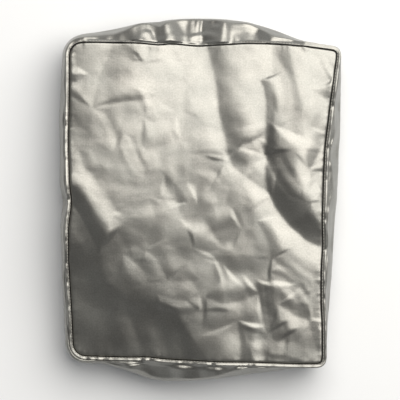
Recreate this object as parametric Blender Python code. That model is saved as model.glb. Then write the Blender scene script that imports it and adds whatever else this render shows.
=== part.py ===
"""Fitted cloth cover for a wall-mounted car charger, lying on its open back.

A silver-coated cloth front panel is sewn all round to one gusset strip. The cover lies with
the panel up. From the seam the gusset rolls over its seam allowance, leans out to a soft
crease, turns back under and ends in a turned hem, flat on the surface round the open back.

Sizes and places in the tables are millimetres; the meshes are metres, +Z up. +Y points to the
cover's top edge and +X to the right of someone who looks at the front panel. The origin is
the middle of the footprint, on the surface that the cover lies on.
"""

from collections import namedtuple

import bmesh
import bpy
import numpy as np

MM = 0.001

# Cloth and sewing
CLOTH = 1.5
HEM_CLOTH = 3.0
PIECE_GAP = 0.3
SEAM_ALLOWANCE = 9.0
HEM_DEPTH = 16.0

# The coating, in linear colour
COATING_COLOUR = (0.45, 0.44, 0.41)
COATING_METALLIC = 0.7
COATING_ROUGHNESS = 0.42

# The panel: its edge's height over the surface, its crown, and the edge's turn into the seam
SEAM_HEIGHT = 62.0
CROWN = 3.0
DITCH = 1.2
EDGE_ROUND = 1.0

# The gusset's section: the roll over the seam allowance, the height of its outer crease, and
# how much of the way in to the mouth it takes to come down to the surface
ROLL_RISE = 2.2
ROLL_TOP = 1.6
ROLL_FOOT = 4.0
CREASE_HEIGHT_SHARE = 0.5
CREASE_DROP_PER_REACH = 0.25
FLOOR_SHARE = 0.3

# Where its rings lie: shares of the way out to the crease, then shares of the way down from
# the crease to the surface, each with its share of the way in to where the cloth lies flat
UPPER_FACE = (0.25, 0.5, 0.78)
LOWER_FACE = ((0.45, 0.12), (0.82, 0.45), (1.0, 1.0))

# The seam's four corners, clockwise from the top left, and the mouth that the hem leaves open
SEAM_CORNERS = ((-147.0, 178.0), (155.0, 168.0), (138.0, -184.0), (-143.0, -176.0))
SEAM_RADII = (14.0, 4.0, 5.0, 14.0)
MOUTH_CORNERS = ((-117.0, 152.0), (119.0, 146.0), (106.0, -158.0), (-114.0, -152.0))
MOUTH_RADII = (38.0, 38.0, 38.0, 38.0)

# Mesh columns: across the panel, down it, and on each half of a corner
ACROSS = 30
DOWN = 36
HALF_CORNER = 2

# One row for each section of a side that differs from its neighbours. share runs clockwise
# along the side; drawn_in is how far the seam lies inside the straight line between corners,
# reach how far the gusset stands out past the seam, and puff how far its middle swells.
Section = namedtuple("Section", "share drawn_in reach puff")

TOP_SIDE = (
    Section(0.00, 0.0, 9.0, 1.0),
    Section(0.10, -1.0, 13.0, 3.0),
    Section(0.20, -1.5, 19.5, 4.0),
    Section(0.28, -1.8, 24.5, 7.0),
    Section(0.33, 0.0, 28.0, 1.0),
    Section(0.38, -2.7, 29.0, 6.0),
    Section(0.47, -0.7, 33.0, 2.0),
    Section(0.58, -3.3, 30.5, 5.0),
    Section(0.66, -5.6, 26.0, 7.0),
    Section(0.76, -6.0, 18.0, 2.0),
    Section(0.87, -4.2, 7.5, 2.0),
    Section(1.00, 0.0, 5.5, 0.0),
)
RIGHT_SIDE = (
    Section(0.00, 0.0, 5.5, 0.0),
    Section(0.08, 2.7, 9.0, 2.0),
    Section(0.17, 5.3, 13.3, -1.0),
    Section(0.26, 7.6, 16.7, 2.0),
    Section(0.32, 9.1, 18.0, -1.0),
    Section(0.46, 8.7, 17.5, 2.0),
    Section(0.55, 8.3, 16.0, 1.0),
    Section(0.62, 5.9, 13.5, -1.0),
    Section(0.70, 6.5, 13.5, 2.0),
    Section(0.80, 4.8, 11.0, 0.0),
    Section(0.88, 2.1, 7.0, 1.0),
    Section(1.00, 0.0, 4.0, 0.0),
)
BOTTOM_SIDE = (
    Section(0.00, 0.0, 4.0, 0.0),
    Section(0.10, -0.9, 6.5, 1.0),
    Section(0.29, -0.6, 15.7, 0.0),
    Section(0.41, -1.3, 20.3, 4.0),
    Section(0.51, -0.9, 24.2, 4.0),
    Section(0.62, -0.4, 27.4, 3.0),
    Section(0.70, 1.4, 27.0, 1.0),
    Section(0.77, 0.4, 17.6, 3.0),
    Section(0.88, 0.3, 9.5, 2.0),
    Section(1.00, 0.0, 9.5, 1.0),
)
LEFT_SIDE = (
    Section(0.00, 0.0, 9.5, 1.0),
    Section(0.12, -1.1, 10.0, 2.0),
    Section(0.30, -3.8, 9.0, 2.0),
    Section(0.42, -3.0, 10.5, 3.0),
    Section(0.49, 1.0, 11.8, -1.5),
    Section(0.54, -1.2, 12.7, 3.0),
    Section(0.68, -2.3, 11.0, 2.0),
    Section(0.76, -1.4, 12.8, 3.0),
    Section(0.90, 0.0, 10.4, 1.0),
    Section(1.00, 0.0, 9.0, 1.0),
)
SIDES = (TOP_SIDE, RIGHT_SIDE, BOTTOM_SIDE, LEFT_SIDE)
TOP, RIGHT, BOTTOM, LEFT = range(4)

# A pleat pulls the gusset in by depth, or out where depth is negative, from share on the seam
# to share + lean at the crease. width is half the pleat's breadth.
Pleat = namedtuple("Pleat", "side share lean width depth")

PLEATS = (
    Pleat(TOP, 0.17, -0.02, 14.0, 3.0),
    Pleat(TOP, 0.30, -0.05, 11.0, -3.0),
    Pleat(TOP, 0.35, 0.00, 9.0, 2.5),
    Pleat(TOP, 0.43, 0.05, 9.0, 2.5),
    Pleat(TOP, 0.50, -0.01, 10.0, -2.0),
    Pleat(TOP, 0.58, 0.02, 11.0, 3.5),
    Pleat(TOP, 0.75, 0.02, 13.0, 3.0),
    Pleat(TOP, 0.90, -0.03, 14.0, 2.0),
    Pleat(RIGHT, 0.08, 0.03, 12.0, -1.5),
    Pleat(RIGHT, 0.18, 0.01, 11.0, 3.0),
    Pleat(RIGHT, 0.34, -0.03, 12.0, 2.5),
    Pleat(RIGHT, 0.44, 0.03, 12.0, -2.0),
    Pleat(RIGHT, 0.52, 0.02, 11.0, 2.5),
    Pleat(RIGHT, 0.64, -0.03, 12.0, 2.5),
    Pleat(RIGHT, 0.80, 0.03, 13.0, 2.5),
    Pleat(BOTTOM, 0.12, 0.03, 13.0, 2.0),
    Pleat(BOTTOM, 0.31, -0.03, 11.0, 3.0),
    Pleat(BOTTOM, 0.46, 0.02, 14.0, -2.0),
    Pleat(BOTTOM, 0.62, -0.02, 12.0, 2.0),
    Pleat(BOTTOM, 0.71, 0.02, 10.0, 3.5),
    Pleat(BOTTOM, 0.88, 0.02, 12.0, 2.0),
    Pleat(LEFT, 0.14, 0.03, 12.0, 2.0),
    Pleat(LEFT, 0.34, -0.03, 13.0, 2.0),
    Pleat(LEFT, 0.49, 0.00, 9.0, 4.0),
    Pleat(LEFT, 0.66, 0.03, 13.0, 2.0),
    Pleat(LEFT, 0.82, -0.02, 12.0, 2.0),
)

# A fold of the front panel runs along path. On each hand of someone who walks along it the
# cloth rises at slope, over about width, before it levels out; it falls where slope is
# negative. start and end are the shares of the path over which the fold comes and goes.
Fold = namedtuple("Fold", "path left_slope left_width right_slope right_width start end")
FOLD_ROUND = 3.0

MAIN_FOLDS = {
    "centre_valley": Fold(
        ((0, 195), (4, 172), (13, 140), (20, 108), (26, 75), (31, 50), (38, 20)),
        0.32, 22.0, 0.14, 50.0, 0.0, 0.3,
    ),
    "right_valley": Fold(
        ((66, 165), (70, 135), (71, 100), (72, 56), (77, 12), (87, -10), (108, -36), (165, -56)),
        0.36, 32.0, 0.12, 28.0, 0.25, 0.0,
    ),
    "top_right_valley": Fold(
        ((83, 195), (86, 172), (92, 143), (100, 115), (110, 80)),
        0.26, 18.0, 0.10, 14.0, 0.0, 0.4,
    ),
    "top_left_valley": Fold(
        ((-99, 195), (-99, 172), (-104, 140), (-108, 100), (-106, 50)),
        0.12, 32.0, 0.14, 20.0, 0.0, 0.5,
    ),
    "left_pinch": Fold(
        ((-165, 3), (-144, 0), (-133, -20), (-122, -45), (-112, -70)),
        0.30, 14.0, 0.20, 12.0, 0.0, 0.5,
    ),
    "right_pinch": Fold(
        ((165, 103), (147, 107), (118, 122)),
        0.18, 13.0, 0.34, 14.0, 0.0, 0.5,
    ),
    "middle_dip": Fold(
        ((-30, -8), (-5, -22), (25, -34), (55, -28)),
        0.16, 20.0, 0.08, 18.0, 0.3, 0.3,
    ),
    "lower_swell": Fold(
        ((5, -104), (35, -122), (62, -128), (95, -122)),
        -0.12, 18.0, -0.16, 16.0, 0.3, 0.4,
    ),
    "bottom_valley": Fold(
        ((40, -132), (46, -155), (51, -180), (54, -200)),
        0.24, 14.0, 0.24, 14.0, 0.3, 0.0,
    ),
    "lower_left_slope": Fold(
        ((-175, -38), (-113, -57), (-105, -85), (-85, -104), (-32, -115), (-11, -141), (20, -200)),
        0.0, 1.0, -0.18, 280.0, 0.0, 0.0,
    ),
}


def smooth_step(share):
    share = np.clip(share, 0.0, 1.0)
    return share * share * (3.0 - 2.0 * share)


def across_path(path, x, y):
    """How far each point lies to the left of a path (negative to its right), and how far along."""
    path = np.array(path, float)
    lengths = np.linalg.norm(np.diff(path, axis=0), axis=1)
    starts = np.concatenate(([0.0], np.cumsum(lengths)))
    nearest = np.full(x.shape, np.inf)
    offset = np.zeros(x.shape)
    along = np.zeros(x.shape)
    for (ax, ay), (bx, by), length, start in zip(path[:-1], path[1:], lengths, starts):
        dx, dy = (bx - ax) / length, (by - ay) / length
        run = np.clip((x - ax) * dx + (y - ay) * dy, 0.0, length)
        away = np.hypot(x - ax - run * dx, y - ay - run * dy)
        side = np.where((y - ay) * dx - (x - ax) * dy >= 0.0, 1.0, -1.0)
        closer = away < nearest
        nearest = np.where(closer, away, nearest)
        offset = np.where(closer, away * side, offset)
        along = np.where(closer, (start + run) / starts[-1], along)
    return offset, along


def fold_height(fold, x, y):
    offset, along = across_path(fold.path, x, y)
    slope = np.where(offset >= 0.0, fold.left_slope, fold.right_slope)
    width = np.where(offset >= 0.0, fold.left_width, fold.right_width)
    rise = slope * (np.hypot(offset, FOLD_ROUND) - FOLD_ROUND) * np.exp(-np.abs(offset) / width)
    if fold.start:
        rise = rise * smooth_step(along / fold.start)
    if fold.end:
        rise = rise * smooth_step((1.0 - along) / fold.end)
    return rise


def panel_height(x, y):
    """Height of the front panel's face over the surface, at its folds and its slight crown."""
    half_width = (SEAM_CORNERS[1][0] - SEAM_CORNERS[0][0]) / 2
    half_height = (SEAM_CORNERS[0][1] - SEAM_CORNERS[2][1]) / 2
    crown = np.clip(1 - (x / half_width) ** 2, 0, 1) * np.clip(1 - (y / half_height) ** 2, 0, 1)
    height = SEAM_HEIGHT + CROWN * crown
    for fold in MAIN_FOLDS.values():
        height = height + fold_height(fold, x, y)
    return height


def rounded_outline(corners, radii, segments):
    """Stations clockwise round a four-cornered outline with rounded corners.

    Each side runs from the middle of one corner's arc to the middle of the next. Returns the
    points, their outward normals, and each one's side and share of the side.
    """
    corners = [np.array(corner, float) for corner in corners]
    count = len(corners)
    ways = [corners[(i + 1) % count] - corners[i] for i in range(count)]
    lengths = [np.linalg.norm(way) for way in ways]
    ways = [way / length for way, length in zip(ways, lengths)]
    outward = [np.array((-way[1], way[0])) for way in ways]
    turns = [np.arccos(np.clip(ways[i - 1] @ ways[i], -1, 1)) for i in range(count)]
    trims = [radius * np.tan(turn / 2) for radius, turn in zip(radii, turns)]

    def on_arc(corner, share):
        angle = np.arctan2(outward[corner - 1][1], outward[corner - 1][0]) - turns[corner] * share
        normal = np.array((np.cos(angle), np.sin(angle)))
        start = corners[corner] - ways[corner - 1] * trims[corner]
        centre = start - outward[corner - 1] * radii[corner]
        return centre + normal * radii[corner], normal

    points, normals, places = [], [], []
    for side in range(count):
        following = (side + 1) % count
        straight = lengths[side] - trims[side] - trims[following]
        steps = segments[side] - 2 * HALF_CORNER
        rows = [on_arc(side, 0.5 + 0.5 * k / HALF_CORNER) for k in range(HALF_CORNER)]
        for k in range(steps + 1):
            run = trims[side] + straight * k / steps
            rows.append((corners[side] + ways[side] * run, outward[side]))
        rows += [on_arc(following, 0.5 * k / HALF_CORNER) for k in range(1, HALF_CORNER)]
        for point, normal in rows:
            points.append(point)
            normals.append(normal)
            places.append((side, (point - corners[side]) @ ways[side] / lengths[side]))
    return np.array(points), np.array(normals), places


def pleat_depth(places, seam, down):
    """How far the pleats pull the gusset in at each station, down its face from 0 to 1."""
    corners = np.array(SEAM_CORNERS)
    lengths = np.linalg.norm(np.roll(corners, -1, axis=0) - corners, axis=1)
    depth = np.zeros(len(seam))
    for pleat in PLEATS:
        middle = pleat.share + pleat.lean * down
        away = np.array([(share - middle) * lengths[side] for side, share in places])
        on_side = np.array([side == pleat.side for side, share in places])
        depth += np.where(on_side, pleat.depth * np.exp(-((away / pleat.width) ** 2)), 0.0)
    return depth


def seam_stations():
    """The seam's line round the panel, its outward normals, and the gusset's reach and puff."""
    segments = (ACROSS, DOWN, ACROSS, DOWN)
    points, normals, places = rounded_outline(SEAM_CORNERS, SEAM_RADII, segments)
    mouth, _, _ = rounded_outline(MOUTH_CORNERS, MOUTH_RADII, segments)

    def read(column):
        values = []
        for side, share in places:
            rows = SIDES[side]
            shares = [row.share for row in rows]
            values.append(np.interp(share, shares, [getattr(row, column) for row in rows]))
        return np.array(values)

    seam = points - normals * read("drawn_in")[:, None]
    return seam, normals, places, read("reach"), read("puff"), mouth


def patch(ring):
    """A grid of plan points that fills the ring, from its own points on all four sides."""
    top = ring[: ACROSS + 1]
    right = ring[ACROSS : ACROSS + DOWN + 1]
    bottom = ring[ACROSS + DOWN : 2 * ACROSS + DOWN + 1][::-1]
    left = np.concatenate((ring[2 * ACROSS + DOWN :], ring[:1]))[::-1]

    def shares(first, second):
        steps = [np.linalg.norm(np.diff(side, axis=0), axis=1) for side in (first, second)]
        runs = [np.concatenate(([0.0], np.cumsum(step))) / step.sum() for step in steps]
        return (runs[0] + runs[1]) / 2

    s = shares(top, bottom)[:, None, None]
    t = shares(left, right)[None, :, None]
    between_rows = (1 - t) * top[:, None] + t * bottom[:, None]
    between_columns = (1 - s) * left[None] + s * right[None]
    corners = (1 - s) * ((1 - t) * top[0] + t * bottom[0]) + s * ((1 - t) * top[-1] + t * bottom[-1])
    return between_rows + between_columns - corners


def front_panel_rings(seam, normals):
    """The panel's edge and its turned-down seam allowance, as rings of points."""
    half_gap = PIECE_GAP / 2
    height = panel_height(seam[:, 0], seam[:, 1])
    face_edge = seam - normals * (half_gap + EDGE_ROUND)
    turned = seam - normals * half_gap
    return (
        np.column_stack((face_edge, height)),
        np.column_stack((turned, height - DITCH)),
        np.column_stack((turned, height - SEAM_ALLOWANCE)),
    )


def gusset_rings(seam, normals, places, reach, puff, mouth):
    """Rings of the gusset's outer face, from the seam allowance inside to the hem's edge."""
    height = panel_height(seam[:, 0], seam[:, 1])
    crease_height = CREASE_HEIGHT_SHARE * height - CREASE_DROP_PER_REACH * reach
    crease = seam + normals * reach[:, None]
    half_gap = PIECE_GAP / 2

    def beside_seam(out, up):
        return np.column_stack((seam + normals * out, height + up))

    rings = [
        beside_seam(half_gap, -SEAM_ALLOWANCE),
        beside_seam(half_gap, -DITCH),
        beside_seam(half_gap + ROLL_TOP, ROLL_RISE),
        beside_seam(half_gap + ROLL_FOOT, ROLL_RISE * 0.6),
    ]
    upper_edge = rings[-1]
    crease_ring = np.column_stack((crease, crease_height))
    for share in UPPER_FACE:
        ring = upper_edge + (crease_ring - upper_edge) * share
        swell = puff * np.sin(np.pi * share) - pleat_depth(places, seam, share)
        ring[:, :2] += normals * (0.5 * swell)[:, None]
        ring[:, 2] += 0.85 * swell
        rings.append(ring)
    rings.append(crease_ring)
    inward = mouth - crease
    inward_length = np.linalg.norm(inward, axis=1)
    pleat_in = normals * pleat_depth(places, seam, 1.0)[:, None]
    for down, across in LOWER_FACE:
        plan = crease + inward * (FLOOR_SHARE * across) - pleat_in * (0.7 * (1.0 - across))
        rings.append(np.column_stack((plan, crease_height * (1.0 - down))))
    hem_start = mouth - inward * (HEM_DEPTH / inward_length)[:, None]
    flat = np.zeros(len(seam))
    rings.append(np.column_stack((hem_start, flat)))
    rings.append(np.column_stack((mouth, flat)))
    return rings


def new_object(name, mesh_data, material):
    mesh = bpy.data.meshes.new(name)
    mesh_data.to_mesh(mesh)
    mesh_data.free()
    mesh.materials.append(material)
    mesh.shade_smooth()
    mesh.set_sharp_from_angle(angle=np.radians(40))
    obj = bpy.data.objects.new(name, mesh)
    bpy.context.scene.collection.objects.link(obj)
    return obj


def thicken(obj, thickness, thin_share=None, thin_group=None):
    """Gives a sheet its cloth, laid on inside the face that shows."""
    solidify = obj.modifiers.new("cloth", "SOLIDIFY")
    solidify.thickness = thickness * MM
    solidify.offset = -1.0
    solidify.use_even_offset = True
    solidify.use_rim = True
    if thin_group:
        solidify.vertex_group = thin_group
        solidify.thickness_vertex_group = thin_share


def bridge(sheet, ring, points):
    """Sews one more ring of points on to the ring of vertices, and returns it."""
    following = [sheet.verts.new(point * MM) for point in points]
    count = len(ring)
    for i in range(count):
        after = (i + 1) % count
        sheet.faces.new((ring[i], ring[after], following[after], following[i]))
    return following


def build_front_panel(seam, normals, material):
    edge, fold, allowance = front_panel_rings(seam, normals)
    plan = patch(edge[:, :2])
    height = panel_height(plan[..., 0], plan[..., 1])
    sheet = bmesh.new()
    grid = [
        [sheet.verts.new((*(plan[i, j] * MM), height[i, j] * MM)) for j in range(DOWN + 1)]
        for i in range(ACROSS + 1)
    ]
    for i in range(ACROSS):
        for j in range(DOWN):
            sheet.faces.new((grid[i][j], grid[i][j + 1], grid[i + 1][j + 1], grid[i + 1][j]))
    ring = [grid[i][0] for i in range(ACROSS)]
    ring += [grid[ACROSS][j] for j in range(DOWN)]
    ring += [grid[i][DOWN] for i in range(ACROSS, 0, -1)]
    ring += [grid[0][j] for j in range(DOWN, 0, -1)]
    for points in (fold, allowance):
        ring = bridge(sheet, ring, points)
    panel = new_object("front_panel", sheet, material)
    thicken(panel, CLOTH)
    return panel


def build_gusset(rings, material):
    sheet = bmesh.new()
    ring = [sheet.verts.new(point * MM) for point in rings[0]]
    for points in rings[1:]:
        ring = bridge(sheet, ring, points)
    gusset = new_object("gusset", sheet, material)
    count = len(rings[0])
    hem = gusset.vertex_groups.new(name="hem")
    hem.add(list(range(count * (len(rings) - 2), count * len(rings))), 1.0, "REPLACE")
    thicken(gusset, HEM_CLOTH, CLOTH / HEM_CLOTH, "hem")
    return gusset


def coated_cloth(name):
    """Woven polyester with a silver-grey coating that has a soft sheen."""
    material = bpy.data.materials.new(name)
    material.use_nodes = True
    shader = material.node_tree.nodes["Principled BSDF"]
    shader.inputs["Base Color"].default_value = (*COATING_COLOUR, 1.0)
    shader.inputs["Metallic"].default_value = COATING_METALLIC
    shader.inputs["Roughness"].default_value = COATING_ROUGHNESS
    return material


def centre_on_footprint(objects):
    """Moves the meshes so that the origin is the middle of their plan."""
    graph = bpy.context.evaluated_depsgraph_get()
    corners = [
        obj.matrix_world @ vertex.co
        for obj in objects
        for vertex in obj.evaluated_get(graph).data.vertices
    ]
    middle_x = (min(c.x for c in corners) + max(c.x for c in corners)) / 2
    middle_y = (min(c.y for c in corners) + max(c.y for c in corners)) / 2
    for obj in objects:
        for vertex in obj.data.vertices:
            vertex.co.x -= middle_x
            vertex.co.y -= middle_y


def main():
    for obj in list(bpy.data.objects):
        bpy.data.objects.remove(obj)
    seam, normals, places, reach, puff, mouth = seam_stations()
    panel = build_front_panel(seam, normals, coated_cloth("front_panel_cloth"))
    rings = gusset_rings(seam, normals, places, reach, puff, mouth)
    gusset = build_gusset(rings, coated_cloth("gusset_cloth"))
    centre_on_footprint((panel, gusset))


main()
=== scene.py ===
"""Looks of a fitted cloth cover for a wall-mounted car charger, lying on its open back.

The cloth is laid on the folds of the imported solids: the front panel over the panel's solid, the
gusset over the gusset's, from the rolled seam out to its crease, down to the surface and in to
the hem. The creases of the tables below are then pressed into it. Lengths are millimetres and
the frame's own: +Y to the cover's top edge, +X to its right, +Z up out of the front panel.
"""

import math
from collections import namedtuple

import bmesh
import bpy
import numpy as np
from mathutils import Matrix, Vector, noise
from mathutils.bvhtree import BVHTree


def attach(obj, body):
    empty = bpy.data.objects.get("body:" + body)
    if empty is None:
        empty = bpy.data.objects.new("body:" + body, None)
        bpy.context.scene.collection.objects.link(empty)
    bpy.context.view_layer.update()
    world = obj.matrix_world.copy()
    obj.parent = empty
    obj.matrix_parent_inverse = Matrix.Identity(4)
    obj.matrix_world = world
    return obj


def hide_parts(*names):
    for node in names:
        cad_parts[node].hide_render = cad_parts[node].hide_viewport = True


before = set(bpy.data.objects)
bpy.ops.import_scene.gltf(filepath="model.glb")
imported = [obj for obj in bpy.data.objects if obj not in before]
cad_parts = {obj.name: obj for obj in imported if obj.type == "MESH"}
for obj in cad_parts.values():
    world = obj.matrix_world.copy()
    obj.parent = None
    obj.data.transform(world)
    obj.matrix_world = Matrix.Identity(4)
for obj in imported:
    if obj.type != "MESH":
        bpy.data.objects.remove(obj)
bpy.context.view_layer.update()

MM = 0.001

# Cloth, seam, hem and thread. ROLL_PROFILE is the ridge beside the seam, as (out, up) pairs.
CLOTH = 0.8
EDGE_INSET = 1.2
FLAP_DEPTH = 8.0
ROLL_PROFILE = (
    (0.15, -0.8), (0.45, 0.5), (1.1, 1.25), (2.1, 1.6), (3.1, 1.95), (3.9, 2.0), (4.5, 1.3), (4.7, 0.4),
)
HEM_DEPTH = 16.0
STITCH_PITCH = 3.4
STITCH_LENGTH = 2.5
THREAD_RADIUS = 0.32
STITCH_OUT = 0.9
STITCH_RISE = 1.25
STITCH_LEAN = 0.7
HEM_STITCH_IN = 12.5
HEM_GROOVE = 0.7
HEM_GROOVE_REACH = 2.0
HEM_TOP = 3.0
HEM_TURN_IN = 0.3
HEM_TURN_UP = 1.3
TURNED_HEM_UP = 1.4
HEM_STITCH_UP = 0.34

# The cloth beside the seam: drawn down over SEAM_DITCH_REACH, puckered over PUCKER_REACH
SEAM_DITCH = 0.5
SEAM_DITCH_REACH = 1.6
PUCKER_REACH = 5.0
FLAP_TURN_OUT = 0.85
FLAP_TURN_DOWN = 0.9
FLAP_OUT = 0.15

# Pattern scales, in features for each metre: soft clouds of about 40 mm and a grain of 1.6 mm.
# A wave repeats every 0.314 m / scale, so the weave repeats every 3.1 mm. Real threads lie about
# 0.5 mm apart: they are drawn six times coarser, as the picture could not show them.
CLOUD_SCALE = 26.0
GRAIN_SCALE = 620.0
WEAVE_SCALE = 100.0
WEAVE_SHARE = 0.3
WEAR_LESS = 0.04
WEAR_MORE = 0.05

# The studio is light at its walls and darker overhead, by the height of the view's direction
WALL_LIGHT = 0.7
CEILING_LIGHT = 0.14
WALL_HEIGHT = 0.3
CEILING_HEIGHT = 0.65
KEY_PLACE = (0.62, 0.8, 1.6)
KEY_SIZE = (2.2, 2.2)
KEY_POWER = 64.0
FLOOR_SIZE = 3.0
FLOOR_DOWN = 0.0005
CAMERA_UP = 3.0
SEEN_LEVEL = 0.045
VIEW_WIDTH = 0.452
SENSOR = 36.0

# Cells of the cloth: across and down the panel, and round and down the gusset
PANEL_CELLS = (186, 228)
GUSSET_CELLS = (640, 62)
RIDGE_LINES = 10
SEAM_RAYS = 1800
BLOCK = 2000

# A crease runs along path. On the left and on the right hand of someone who walks along it the
# cloth rises at slope over width (falls where slope is negative), and sinks back to where it was
# over back more widths. It grows out of a point over start widths and ends in one over end
# widths; 0 where it runs on into the seam.
Crease = namedtuple("Crease", "left right start end path")
Flank = namedtuple("Flank", "slope width back")
NONE = Flank(0.0, 1.0, 1.0)

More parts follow.
